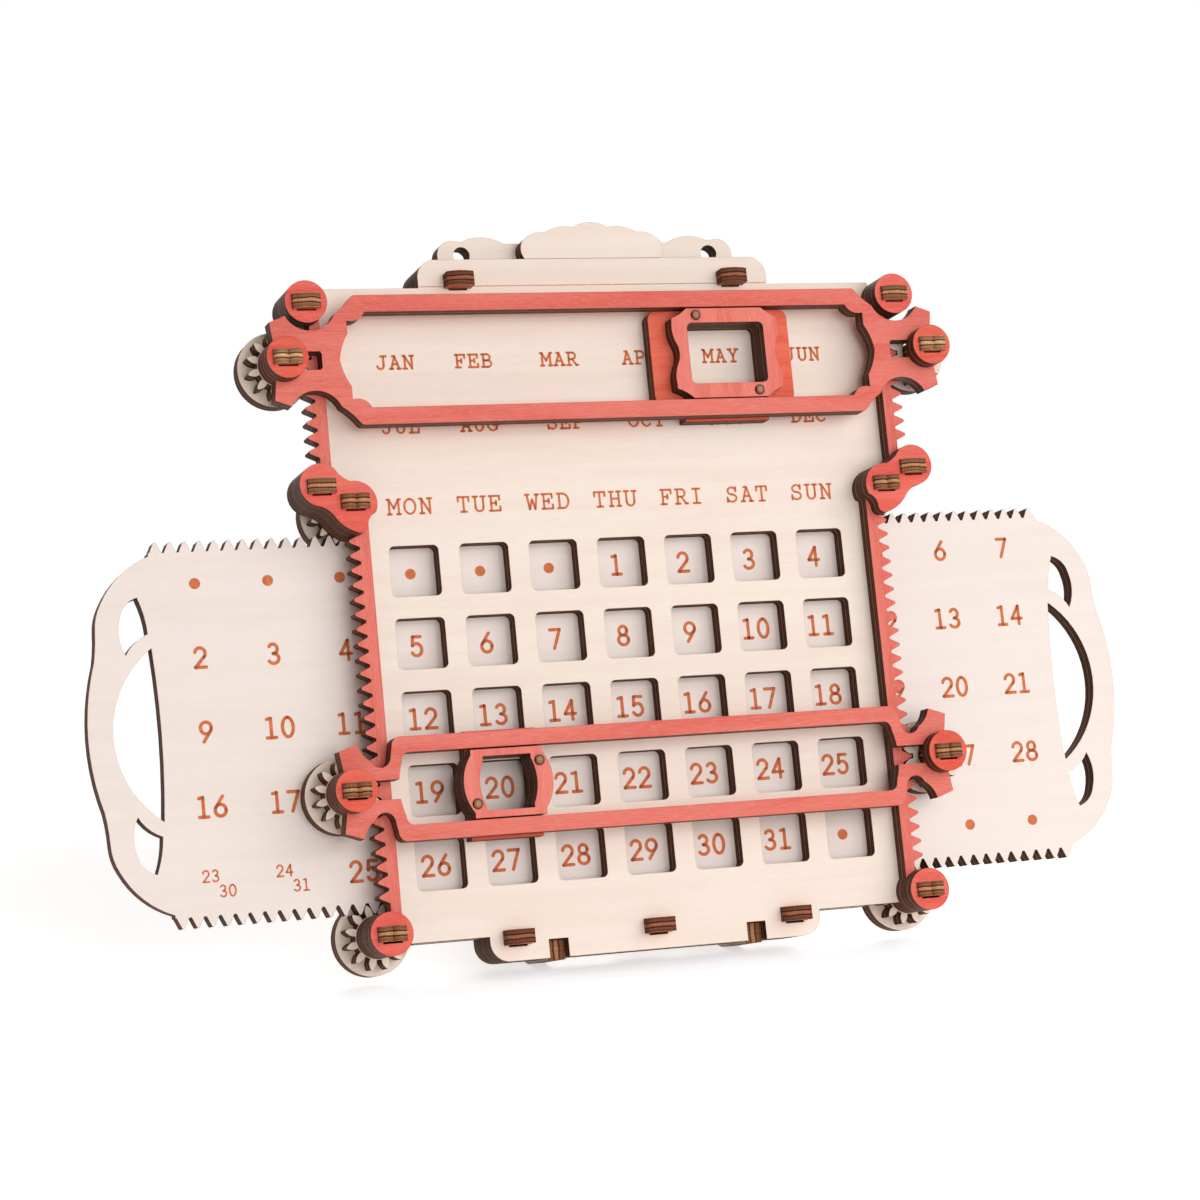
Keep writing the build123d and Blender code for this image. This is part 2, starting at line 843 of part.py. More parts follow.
def calendar():
    pieces = {
        "front_panel": front_panel(),
        "crest_plate": crest_plate(),
        "name_plate": name_plate(),
        "back_panel": back_panel(),
        "lip_spacer": lip_spacer(),
        "rack_pegs": rack_pegs(),
        "stack_pegs": stack_pegs(),
        "plate_axle_pegs": plate_axle_pegs(),
        "stand_tie": stand_tie(),
        "date_plate": date_plate(),
        "month_frame": month_frame(),
        "date_frame": date_frame(),
    }
    pieces.update(side_pieces())
    pieces.update(date_gears())
    pieces.update(cursor_pieces("month", upper_x + pitch_radius, month_z))
    pieces.update(cursor_pieces("date", lower_x + pitch_radius, date_z))
    pieces.update(month_slider())
    pieces.update(date_slider())
    return pieces


# Leans the calendar back with its heels and toes on the desk
def lean_back(shape):
    return Rot(-lean, 0, 0) * Pos(0, -heel_depth, -heel_z) * shape


def place_all(pieces):
    leant = {}
    for node, shape in pieces.items():
        solids = shape if isinstance(shape, list) else [shape]
        leant[node] = [lean_back(solid) for solid in solids]
    extent = Compound([solid for solids in leant.values() for solid in solids]).bounding_box()
    shift = Pos(0, -extent.center().Y, 0)
    print("moved forward by", extent.center().Y, "lowest", extent.min.Z, "size", extent.size)
    return {node: [shift * solid for solid in solids] for node, solids in leant.items()}


os.makedirs("parts", exist_ok=True)
for node, solids in place_all(calendar()).items():
    whole = Compound(children=solids) if len(solids) > 1 else solids[0]
    export_step(whole, f"parts/{node}.step")
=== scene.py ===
import json
import math

import bmesh
import bpy
import numpy as np
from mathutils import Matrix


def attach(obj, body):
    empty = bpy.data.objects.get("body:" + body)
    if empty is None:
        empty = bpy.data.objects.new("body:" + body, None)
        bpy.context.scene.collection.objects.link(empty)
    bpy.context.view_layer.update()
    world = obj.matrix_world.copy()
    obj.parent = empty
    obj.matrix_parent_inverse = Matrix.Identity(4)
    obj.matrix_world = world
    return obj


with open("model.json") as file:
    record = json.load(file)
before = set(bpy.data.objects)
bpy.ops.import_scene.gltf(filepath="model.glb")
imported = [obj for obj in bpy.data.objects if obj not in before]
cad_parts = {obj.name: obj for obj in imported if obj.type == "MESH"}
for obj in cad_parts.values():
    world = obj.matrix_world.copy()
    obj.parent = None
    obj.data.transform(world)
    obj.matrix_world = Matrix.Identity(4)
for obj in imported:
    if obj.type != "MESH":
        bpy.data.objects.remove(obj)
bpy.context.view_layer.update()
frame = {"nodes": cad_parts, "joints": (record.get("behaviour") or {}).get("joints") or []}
scene = bpy.context.scene
scene.view_settings.view_transform = "Standard"
print("calendar loaded:", len(frame["nodes"]), "pieces")

# The calendar's own face: x to the right, up the leaning board, and depth behind the front panel
mm = 0.001
joints = {joint["name"]: joint for joint in frame["joints"]}
faceRight = np.array([1.0, 0.0, 0.0])
faceUp = np.array(joints["month_cursor_slide"]["axis"], float)
faceBack = np.array(joints["plate_upper_left_gear_turn"]["axis"], float)
plateGearSpots = [joint["pos_m"] for name, joint in joints.items() if name.startswith("plate_")]
plateDepth = 4.2    # the date plate's front, behind the panel's front
faceZero = np.mean(np.array(plateGearSpots, float), axis=0) - faceBack * plateDepth * mm
lean = math.atan2(faceUp[1], faceUp[2])
toothPitch = math.pi    # module 1
cellPitch = 5 * toothPitch    # five rack teeth to a date cell


# Point on the face = origin + x right + z up the board + depth backwards, for whole arrays of millimetres
def onFace(x, z, depth):
    x, z, depth = np.broadcast_arrays(x, z, depth)
    return faceZero + mm * (x[..., None] * faceRight + z[..., None] * faceUp + depth[..., None] * faceBack)


# Camera: fitted to the window grid in the picture
cameraSetup = {
    "place": (-0.2309, -0.64119, 0.1655),
    "turn": (math.radians(82.6415), math.radians(0.1558), math.radians(-19.5202)),
    "lens": 93.477,
    "sensor": 36.0,
}


def makeCamera(setup):
    data = bpy.data.cameras.new("calendarCamera")
    data.lens = setup["lens"]
    data.sensor_width = setup["sensor"]
    camera = bpy.data.objects.new("calendarCamera", data)
    camera.location = setup["place"]
    camera.rotation_euler = setup["turn"]
    scene.collection.objects.link(camera)
    scene.camera = camera


makeCamera(cameraSetup)


def addNode(tree, kind, place, **values):
    node = tree.nodes.new(kind)
    node.location = place
    for key, value in values.items():
        setattr(node, key, value)
    return node


# A socket gets a link from another node, or else a plain value
def feed(tree, socket, value):
    if isinstance(value, bpy.types.NodeSocket):
        tree.links.new(value, socket)
    else:
        socket.default_value = value


def feedAll(tree, node, values):
    for key, value in values.items():
        feed(tree, node.inputs[key], value)


def mathNode(tree, operation, place, *values, clamp=False):
    node = addNode(tree, "ShaderNodeMath", place, operation=operation, use_clamp=clamp)
    feedAll(tree, node, dict(enumerate(values)))
    return node.outputs[0]


def vectorNode(tree, operation, place, *values):
    node = addNode(tree, "ShaderNodeVectorMath", place, operation=operation)
    feedAll(tree, node, dict(enumerate(values)))
    return node.outputs["Value" if operation in ("DOT_PRODUCT", "LENGTH") else "Vector"]


def rangeNode(tree, place, value, limits, outLimits=(0.0, 1.0)):
    node = addNode(tree, "ShaderNodeMapRange", place, interpolation_type="SMOOTHSTEP")
    feedAll(tree, node, {
        "Value": value, "From Min": limits[0], "From Max": limits[1],
        "To Min": outLimits[0], "To Max": outLimits[1],
    })
    return node.outputs["Result"]


# The colour mix has its factor in socket 0 and its two colours in sockets 6 and 7
def mixNode(tree, place, factor, first, second):
    node = addNode(tree, "ShaderNodeMix", place, data_type="RGBA")
    feedAll(tree, node, {0: factor, 6: first, 7: second})
    return node.outputs[2]


def noiseNode(tree, place, vector, scale, detail, rough=0.5, twist=0.0):
    node = addNode(tree, "ShaderNodeTexNoise", place)
    feedAll(tree, node, {
        "Vector": vector, "Scale": scale, "Detail": detail, "Roughness": rough, "Distortion": twist,
    })
    return node.outputs[0]


# Soft studio light: a key on the right, a broad panel in front and one behind
studio = {
    "skyStrength": 0.16,
    "skyColor": (1.0, 0.985, 0.97, 1.0),
    "lampAim": (0.0, 0.0, 0.08),
    "lamps": (
        {"name": "keyPanel", "place": (0.60, -0.80, 0.60), "size": 0.9, "power": 5.6},
        {"name": "frontPanel", "place": (0.02, -1.25, 0.40), "size": 0.8, "power": 9.0},
        {"name": "backPanel", "place": (0.2, 0.9, 0.8), "size": 0.8, "power": 5.0},
    ),
    "floorSize": 3.0,
    "floorColor": (0.96, 0.955, 0.95, 1.0),
    "floorRough": 0.9,
    "floorShine": 0.1,
    "floorGlow": (0.55, 0.55, 0.55, 1.0),    # seen by the eye only, so that the paper reads white
    "floorFade": (0.22, 0.62),    # the paper runs out into white between these distances
}
white, black = (1.0, 1.0, 1.0, 1.0), (0.0, 0.0, 0.0, 1.0)


# Rays that carry the background to the eye: straight from the camera, off a gloss or through glass
def seenRays(tree, place):
    path = addNode(tree, "ShaderNodeLightPath", place)
    seen = path.outputs["Is Camera Ray"]
    for step, kind in enumerate(("Is Glossy Ray", "Is Transmission Ray"), 1):
        seen = mathNode(tree, "MAXIMUM", (place[0] + 200 * step, place[1]), seen, path.outputs[kind])
    return seen


def makeSky(setup):
    world = bpy.data.worlds.new("studioSky")
    scene.world = world
    world.use_nodes = True
    tree = world.node_tree
    tree.nodes.clear()
    light = addNode(tree, "ShaderNodeBackground", (-250, 0))
    feedAll(tree, light, {"Color": setup["skyColor"], "Strength": setup["skyStrength"]})
    backdrop = addNode(tree, "ShaderNodeBackground", (-250, -150))
    feedAll(tree, backdrop, {"Color": white})
    mix = addNode(tree, "ShaderNodeMixShader", (0, 0))
    feedAll(tree, mix, {0: seenRays(tree, (-700, 200)), 1: light.outputs[0], 2: backdrop.outputs[0]})
    out = addNode(tree, "ShaderNodeOutputWorld", (200, 0))
    tree.links.new(mix.outputs[0], out.inputs[0])


def makeLamp(setup, aim):
    data = bpy.data.lights.new(setup["name"], "AREA")
    data.size = setup["size"]
    data.energy = setup["power"]
    lamp = bpy.data.objects.new(setup["name"], data)
    way = np.array(aim) - np.array(setup["place"])
    flat = math.hypot(way[0], way[1])
    lamp.location = setup["place"]
    lamp.rotation_euler = (math.atan2(flat, -way[2]), 0.0, math.atan2(-way[0], way[1]))
    scene.collection.objects.link(lamp)


def makeFloor(setup):
    half = setup["floorSize"] / 2
    corners = [(-half, -half, 0), (half, -half, 0), (half, half, 0), (-half, half, 0)]
    mesh = bpy.data.meshes.new("studioFloor")
    mesh.from_pydata(corners, [], [(0, 1, 2, 3)])
    floor = bpy.data.objects.new("studioFloor", mesh)
    scene.collection.objects.link(floor)
    material = bpy.data.materials.new("floorPaper")
    material.use_nodes = True
    tree = material.node_tree
    shader = tree.nodes["Principled BSDF"]
    coords = addNode(tree, "ShaderNodeTexCoord", (-800, -200))
    reach = vectorNode(tree, "LENGTH", (-600, -200), coords.outputs["Object"])
    fade = rangeNode(tree, (-400, -200), reach, setup["floorFade"], (1.0, 0.0))
    glow = mixNode(tree, (-300, -500), seenRays(tree, (-900, -500)), black, setup["floorGlow"])
    feedAll(tree, shader, {
        "Base Color": setup["floorColor"], "Roughness": setup["floorRough"],
        "Specular IOR Level": setup["floorShine"], "Alpha": fade,
        "Emission Color": glow, "Emission Strength": 1.0,
    })
    mesh.materials.append(material)


makeSky(studio)
for lampSetup in studio["lamps"]:
    makeLamp(lampSetup, studio["lampAim"])
makeFloor(studio)
print("camera and studio set")


# A node group with named sockets, each given as its name and kind
def newGroup(name, inputs, outputs):
    tree = bpy.data.node_groups.new(name, "ShaderNodeTree")
    for way, sockets in (("INPUT", inputs), ("OUTPUT", outputs)):
        for label, kind in sockets:
            tree.interface.new_socket(name=label, in_out=way, socket_type="NodeSocket" + kind)
    return tree, addNode(tree, "NodeGroupInput", (-1200, 0)), addNode(tree, "NodeGroupOutput", (900, 0))


sheetSetup = {"edgeFacing": (0.6, 0.9)}    # below the first a surface is a cut edge, above the second a face


# Place on the face in millimetres, how far a point lies through its sheet, and whether it is a cut edge
def makeSheetGroup(setup):
    tree, given, out = newGroup(
        "plySheet",
        [("Ply Axis", "Vector"), ("Sheet Start", "Float"), ("Sheet Depth", "Float")],
        [("Place", "Vector"), ("Layer", "Float"), ("Edge", "Float")],
    )
    axis = given.outputs["Ply Axis"]
    coords = addNode(tree, "ShaderNodeTexCoord", (-1200, 400))
    place = addNode(tree, "ShaderNodeMapping", (-900, 400), vector_type="TEXTURE")
    feedAll(tree, place, {
        "Vector": coords.outputs["Object"], "Location": tuple(faceZero),
        "Rotation": (-lean, 0.0, 0.0), "Scale": (mm, mm, mm),
    })
    fromZero = vectorNode(tree, "SUBTRACT", (-900, 100), coords.outputs["Object"], tuple(faceZero))
    along = vectorNode(tree, "DOT_PRODUCT", (-700, 100), fromZero, axis)
    alongMm = mathNode(tree, "DIVIDE", (-500, 100), along, mm)
    inSheet = mathNode(tree, "SUBTRACT", (-300, 100), alongMm, given.outputs["Sheet Start"])
    share = mathNode(tree, "DIVIDE", (-100, 100), inSheet, given.outputs["Sheet Depth"])
    layer = mathNode(tree, "FRACT", (100, 100), share)
    slant = vectorNode(tree, "DOT_PRODUCT", (-700, -150), coords.outputs["Normal"], axis)
    facing = mathNode(tree, "ABSOLUTE", (-500, -150), slant)
    edge = rangeNode(tree, (-300, -150), facing, setup["edgeFacing"], (1.0, 0.0))
    feedAll(tree, out, {"Place": place.outputs["Vector"], "Layer": layer, "Edge": edge})
    return tree


figureSetup = {
    "bands": {"scale": 0.55, "detail": 3.0, "rough": 0.55, "twist": 0.6},
    "fibres": {"scale": 9.0, "detail": 3.0, "rough": 0.6},
    "flecks": {"scale": 21.0, "detail": 1.0},
    "bandLimits": (0.36, 0.68), "fibreLimits": (0.35, 0.7), "fleckLimits": (0.6, 0.74),
    "bandShare": 0.55, "fibreShare": 0.45,
}


# Wood figure: slow bands, fine fibres and short flecks, all drawn out along the grain
def makeFigureGroup(setup):
    tree, given, out = newGroup(
        "woodFigure",
        [("Place", "Vector"), ("Stretch", "Vector"), ("Ground", "Color"), ("Band", "Color"),
         ("Fleck", "Color"), ("Fleck Amount", "Float")],
        [("Color", "Color"), ("Height", "Float")],
    )
    drawn = vectorNode(tree, "MULTIPLY", (-900, 100), given.outputs["Place"], given.outputs["Stretch"])
    bands = noiseNode(tree, (-650, 300), drawn, **setup["bands"])
    fibres = noiseNode(tree, (-650, 50), drawn, **setup["fibres"])
    flecks = noiseNode(tree, (-650, -200), drawn, **setup["flecks"])
    bandMask = rangeNode(tree, (-400, 300), bands, setup["bandLimits"])
    fibreMask = rangeNode(tree, (-400, 50), fibres, setup["fibreLimits"])
    fleckMask = rangeNode(tree, (-400, -200), flecks, setup["fleckLimits"])
    fibreTone = mathNode(tree, "MULTIPLY", (-200, 50), fibreMask, setup["fibreShare"])
    tone = mathNode(tree, "MULTIPLY_ADD", (50, 200), bandMask, setup["bandShare"], fibreTone, clamp=True)
    plain = mixNode(tree, (300, 250), tone, given.outputs["Ground"], given.outputs["Band"])
    fleckPart = mathNode(tree, "MULTIPLY", (300, 0), fleckMask, given.outputs["Fleck Amount"])
    color = mixNode(tree, (500, 200), fleckPart, plain, given.outputs["Fleck"])
    feedAll(tree, out, {"Color": color, "Height": fibres})
    return tree


edgeSetup = {
    "kerf": {"scale": 3.2, "detail": 2.0, "rough": 0.6}, "kerfLimits": (0.3, 0.72), "kerfTone": (0.75, 1.1),
    "wander": {"scale": 0.45, "detail": 2.0}, "wanderReach": 0.16,
    # share of the sheet's thickness, and how pale it is there: two dark glue lines with a pale core between
    "stops": (
        (0.0, 0.80), (0.05, 0.16), (0.14, 0.32), (0.26, 0.46), (0.32, 0.0), (0.36, 0.0), (0.42, 0.78),
        (0.58, 0.90), (0.64, 0.0), (0.68, 0.0), (0.74, 0.40), (0.90, 0.28), (0.95, 0.12), (1.0, 0.75),
    ),
}


# Laser-cut edge: plies from charred to toasted through the sheet, with fine kerf lines along the cut
def makeEdgeGroup(setup):
    tree, given, out = newGroup(
        "laserEdge",
        [("Place", "Vector"), ("Layer", "Float"), ("Kerf", "Vector"), ("Char", "Color"), ("Toast", "Color")],
        [("Color", "Color"), ("Height", "Float")],
    )
    kerfPlace = vectorNode(tree, "MULTIPLY", (-900, 200), given.outputs["Place"], given.outputs["Kerf"])
    kerf = noiseNode(tree, (-700, 200), kerfPlace, **setup["kerf"])
    wander = noiseNode(tree, (-700, -50), given.outputs["Place"], **setup["wander"])
    reach = setup["wanderReach"]
    shift = mathNode(tree, "MULTIPLY_ADD", (-500, -50), wander, reach, -reach / 2)
    layer = mathNode(tree, "ADD", (-300, -50), given.outputs["Layer"], shift)
    ramp = addNode(tree, "ShaderNodeValToRGB", (-100, 0))
    stops = ramp.color_ramp.elements
    readyStops = len(stops)
    for count, (spot, level) in enumerate(setup["stops"]):
        stop = stops[count] if count < readyStops else stops.new(spot)
        stop.position = spot
        stop.color = (level, level, level, 1.0)
    tree.links.new(layer, ramp.inputs["Fac"])
    kerfMask = rangeNode(tree, (-300, 250), kerf, setup["kerfLimits"], setup["kerfTone"])
    tone = mathNode(tree, "MULTIPLY", (200, 100), ramp.outputs["Color"], kerfMask, clamp=True)
    color = mixNode(tree, (450, 100), tone, given.outputs["Char"], given.outputs["Toast"])
    feedAll(tree, out, {"Color": color, "Height": kerf})
    return tree


rimSetup = {"samples": 6, "matchLimits": (0.80, 0.995)}


# Thin scorch line where a face meets a cut edge: rounded and true normals drift apart there
def makeRimGroup(setup):
    tree, given, out = newGroup("scorchRim", [("Breadth", "Float")], [("Rim", "Float")])
    bevel = addNode(tree, "ShaderNodeBevel", (-600, 0), samples=setup["samples"])
    tree.links.new(given.outputs["Breadth"], bevel.inputs["Radius"])
    true = addNode(tree, "ShaderNodeNewGeometry", (-600, -200))
    match = vectorNode(tree, "DOT_PRODUCT", (-350, 0), bevel.outputs["Normal"], true.outputs["True Normal"])
    rim = rangeNode(tree, (-100, 0), match, setup["matchLimits"], (1.0, 0.0))
    feedAll(tree, out, {"Rim": rim})
    return tree


groups = {
    "sheet": makeSheetGroup(sheetSetup),
    "figure": makeFigureGroup(figureSetup),
    "edge": makeEdgeGroup(edgeSetup),
    "rim": makeRimGroup(rimSetup),
}
print("wood node groups made")

# Finishes: ground, band and fleck of the face, char and toast of the cut edge, colour of the scorch line,
# whose breadth is in millimetres
boardEdge = {
    "char": (0.020, 0.007, 0.004), "toast": (0.280, 0.115, 0.064), "rimAmount": 0.6, "rimBreadth": 0.3,
}
bareBoard = {**boardEdge, "rim": (0.40, 0.21, 0.12), "fleckAmount": 0.22, "rough": 0.62}
redBoard = {**boardEdge, "fleckAmount": 0.4, "rough": 0.52}
axlePeg = {
    "ground": (0.660, 0.220, 0.130), "band": (0.560, 0.150, 0.090), "fleck": (0.72, 0.33, 0.22),
    "fleckAmount": 0.3, "rimAmount": 0.7, "rimBreadth": 0.3, "rough": 0.6,
}
paleWood = {
    **bareBoard,
    "ground": (0.905, 0.778, 0.690), "band": (0.860, 0.708, 0.605), "fleck": (0.79, 0.61, 0.49),
}
finishes = {
    "paleWood": paleWood,
    "legWood": {**paleWood, "char": (0.060, 0.020, 0.008), "toast": (0.520, 0.235, 0.108)},
    # Gears and flanges: the pale wood made warmer, painted warm light bounced onto them from the red parts
    "bounceWarmedGearWood": {
        **bareBoard,
        "ground": (0.915, 0.760, 0.645), "band": (0.865, 0.690, 0.565), "fleck": (0.79, 0.59, 0.46),
    },
    "plateWood": {
        **bareBoard,
        "ground": (0.885, 0.780, 0.722), "band": (0.855, 0.738, 0.670), "fleck": (0.80, 0.66, 0.58),
        "fleckAmount": 0.15, "rough": 0.64,
    },
    "coralStain": {
        **redBoard,
        "ground": (0.772, 0.200, 0.155), "band": (0.672, 0.118, 0.086), "fleck": (0.86, 0.40, 0.32),
        "rim": (0.42, 0.060, 0.040), "fleckAmount": 0.45,
    },
    "sliderCoral": {
        **redBoard,
        "ground": (0.810, 0.232, 0.182), "band": (0.715, 0.142, 0.106), "fleck": (0.88, 0.42, 0.34),
        "rim": (0.42, 0.060, 0.040), "fleckAmount": 0.45,
    },
    # Knobs: the coral stain made deeper and more orange, with painted shade from the pegs and painted red
    # bounce light
    "knobShadeCoral": {
        **redBoard,
        "ground": (0.775, 0.148, 0.098), "band": (0.680, 0.076, 0.048), "fleck": (0.83, 0.30, 0.22),
        "rim": (0.38, 0.050, 0.030),
    },
    "deepCoral": {
        **redBoard,
        "ground": (0.800, 0.175, 0.132), "band": (0.700, 0.085, 0.062), "fleck": (0.84, 0.32, 0.25),
        "rim": (0.38, 0.050, 0.035),
    },
    # Slider base: the coral stain made deeper and more orange, with painted shade and painted red light
    # bounced between the red parts
    "sliderBaseShadeCoral": {
        **redBoard,
        "ground": (0.845, 0.178, 0.108), "band": (0.750, 0.095, 0.050), "fleck": (0.86, 0.30, 0.20),
        "rim": (0.38, 0.050, 0.030),
    },
    # Month axle pegs: a brighter, yellower copy of the peg finish, painted light and painted highlight
    "litBrightPeg": {
        **axlePeg,
        "char": (0.070, 0.024, 0.010), "toast": (0.900, 0.500, 0.250), "rim": (0.10, 0.04, 0.02),
    },
    "goldenPeg": {
        **axlePeg,
        "char": (0.030, 0.009, 0.004), "toast": (0.700, 0.310, 0.145), "rim": (0.07, 0.028, 0.014),
    },
    # Corner-cap pegs: a darker, browner copy of the peg finish, painted shade
    "shadedBrownPeg": {
        **axlePeg,
        "ground": (0.620, 0.240, 0.140), "band": (0.500, 0.150, 0.080), "fleck": (0.70, 0.34, 0.22),
        "char": (0.022, 0.007, 0.004), "toast": (0.440, 0.145, 0.074), "rim": (0.04, 0.015, 0.009),
        "rough": 0.62,
    },
    "tanDowel": {
        "ground": (0.460, 0.235, 0.125), "band": (0.300, 0.135, 0.065), "fleck": (0.60, 0.38, 0.24),
        "char": (0.020, 0.008, 0.005), "toast": (0.120, 0.055, 0.030), "rim": (0.012, 0.005, 0.003),
        "fleckAmount": 0.4, "rimAmount": 0.97, "rimBreadth": 1.3, "rough": 0.6,
    },
}
woodSurface = {
    "shine": 0.08, "fibreLimits": (0.3, 0.7), "roughSpread": (-0.05, 0.06),
    "bumpStrength": 0.25, "bumpDepth": 0.05 * mm,
}

# How a sheet lies: along which axis its plies are stacked, and the ways its edge is scored
stacks = {
    "back": {"axis": tuple(faceBack), "kerf": (1.0, 0.0, 1.0)},
    "up": {"axis": tuple(faceUp), "kerf": (1.0, 1.0, 0.0)},
    "side": {"axis": tuple(faceRight), "kerf": (0.0, 1.0, 1.0)},
}
grains = {"across": (0.03, 0.35, 0.45), "upright": (0.45, 0.35, 0.03)}


def opaque(color):
    return color + (1.0,)


def placeGroup(tree, kind, place, values):
    node = addNode(tree, "ShaderNodeGroup", place, node_tree=groups[kind])
    feedAll(tree, node, values)
    return node.outputs


def woodMaterial(name, finish, stack, start, depth, grain):
    material = bpy.data.materials.new(name)
    material.use_nodes = True
    tree = material.node_tree
    shader = tree.nodes["Principled BSDF"]
    shader.location = (900, 0)
    tree.nodes["Material Output"].location = (1200, 0)
    paint = {key: opaque(finish[key]) for key in ("ground", "band", "fleck", "char", "toast", "rim")}
    sheet = placeGroup(tree, "sheet", (-700, 0), {
        "Ply Axis": stack["axis"], "Sheet Start": start, "Sheet Depth": depth,
    })
    figure = placeGroup(tree, "figure", (-300, 200), {
        "Place": sheet["Place"], "Stretch": grains[grain], "Ground": paint["ground"], "Band": paint["band"],
        "Fleck": paint["fleck"], "Fleck Amount": finish["fleckAmount"],
    })
    edge = placeGroup(tree, "edge", (-300, -150), {
        "Place": sheet["Place"], "Layer": sheet["Layer"], "Kerf": stack["kerf"],
        "Char": paint["char"], "Toast": paint["toast"],
    })
    rim = placeGroup(tree, "rim", (-300, 450), {"Breadth": finish["rimBreadth"] * mm})
    rimMask = mathNode(tree, "MULTIPLY", (-50, 450), rim["Rim"], finish["rimAmount"])
    face = mixNode(tree, (150, 300), rimMask, figure["Color"], paint["rim"])
    color = mixNode(tree, (400, 200), sheet["Edge"], face, edge["Color"])
    roughLimits = [finish["rough"] + change for change in woodSurface["roughSpread"]]
    rough = rangeNode(tree, (400, 0), figure["Height"], woodSurface["fibreLimits"], roughLimits)
    edgeHeight = mathNode(tree, "MULTIPLY", (0, -250), edge["Height"], sheet["Edge"])
    height = mathNode(tree, "ADD", (200, -250), edgeHeight, figure["Height"])
    bump = addNode(tree, "ShaderNodeBump", (450, -250))
    feedAll(tree, bump, {
        "Strength": woodSurface["bumpStrength"], "Distance": woodSurface["bumpDepth"], "Height": height,
    })
    feedAll(tree, shader, {
        "Base Color": color, "Roughness": rough, "Normal": bump.outputs["Normal"],
        "Specular IOR Level": woodSurface["shine"],
    })
    return material


sides, levels, cursors = ("left", "right"), ("upper", "lower"), ("month", "date")
plateGears = [f"plate_{level}_{side}_gear" for level in levels for side in sides]
cursorGears = [f"{cursor}_{side}_gear" for cursor in cursors for side in sides]
cornerCaps = [f"{level}_{side}_corner_cap" for level in ("top", "bottom") for side in sides]

# Every wooden layer: material, finish, how it is stacked, where its sheet starts and how thick it is in
# millimetres, grain, and its pieces
layers = (
    ("panelBoard", "paleWood", "back", 0.0, 4.0, "across", ["front_panel", "name_plate"]),
    ("crestBoard", "paleWood", "back", 4.0, 4.4, "across", ["crest_plate", "lip_spacer"]),
    ("backBoard", "paleWood", "back", 8.4, 4.0, "across", ["back_panel"]),
    ("dateBoard", "plateWood", "back", plateDepth, 4.0, "across", ["date_plate"]),
    ("plateGearWood", "bounceWarmedGearWood", "back", plateDepth, 4.2, "across", plateGears),
    ("plateFlangeWood", "bounceWarmedGearWood", "back", 8.4, 3.8, "across", [gear + "_flange" for gear in plateGears]),
    ("cursorGearWood", "bounceWarmedGearWood", "back", -4.0, 4.2, "across", cursorGears),
    ("cursorFlangeWood", "bounceWarmedGearWood", "back", 0.2, 3.8, "across", [gear + "_flange" for gear in cursorGears]),
    ("rackStain", "coralStain", "back", -4.0, 4.0, "upright", [f"{side}_rack" for side in sides]),
    ("capStain", "deepCoral", "back", -8.0, 4.0, "across",
        [f"{side}_bracket_cap" for side in sides] + cornerCaps),
    ("frameStain", "coralStain", "back", -8.2, 4.0, "across", [f"{cursor}_frame" for cursor in cursors]),
    # knobs: coral stain with painted shade and painted red bounce light in its colour
    ("knobStainAndShade", "knobShadeCoral", "back", -12.2, 4.0, "across",
        [f"{cursor}_{side}_knob" for cursor in cursors for side in sides]),
    ("sliderFrontStain", "sliderCoral", "back", -8.0, 4.0, "upright",
        [f"{cursor}_slider_front" for cursor in cursors]),
    # slider bases: coral stain with painted shade and painted red bounce light in its colour
    ("sliderBaseStainAndShade", "sliderBaseShadeCoral", "back", -4.0, 3.8, "across",
        [f"{cursor}_slider_base" for cursor in cursors]),
    ("sliderDowelWood", "tanDowel", "back", -8.4, 8.2, "across",
        [f"{cursor}_slider_dowels" for cursor in cursors]),
    ("stackPegWood", "shadedBrownPeg", "up", 93.35, 3.109, "across", ["stack_pegs"]),
    ("rackPegWood", "goldenPeg", "up", 87.35, 3.069, "across", ["rack_pegs"]),
    ("plateAxleWood", "goldenPeg", "up", 43.95, 3.138, "across", ["plate_axle_pegs"]),
    ("monthAxleWood", "litBrightPeg", "up", 74.45, 3.1, "across", ["month_axle_pegs"]),
    ("dateAxleWood", "goldenPeg", "up", -17.26, 3.1, "across", ["date_axle_pegs"]),
    ("leftLegWood", "legWood", "side", -24.7, 4.0, "upright", ["left_stand_leg"]),
    ("rightLegWood", "legWood", "side", 20.7, 4.0, "upright", ["right_stand_leg"]),
    ("tieWood", "paleWood", "back", 42.0, 4.0, "across", ["stand_tie"]),
)


def dressNode(node, material):
    mesh = frame["nodes"][node].data
    mesh.materials.clear()
    mesh.materials.append(material)


for name, finish, stack, start, depth, grain, nodes in layers:
    made = woodMaterial(name, finishes[finish], stacks[stack], start, depth, grain)
    for node in nodes:
        dressNode(node, made)
print("layers dressed:", len(layers))

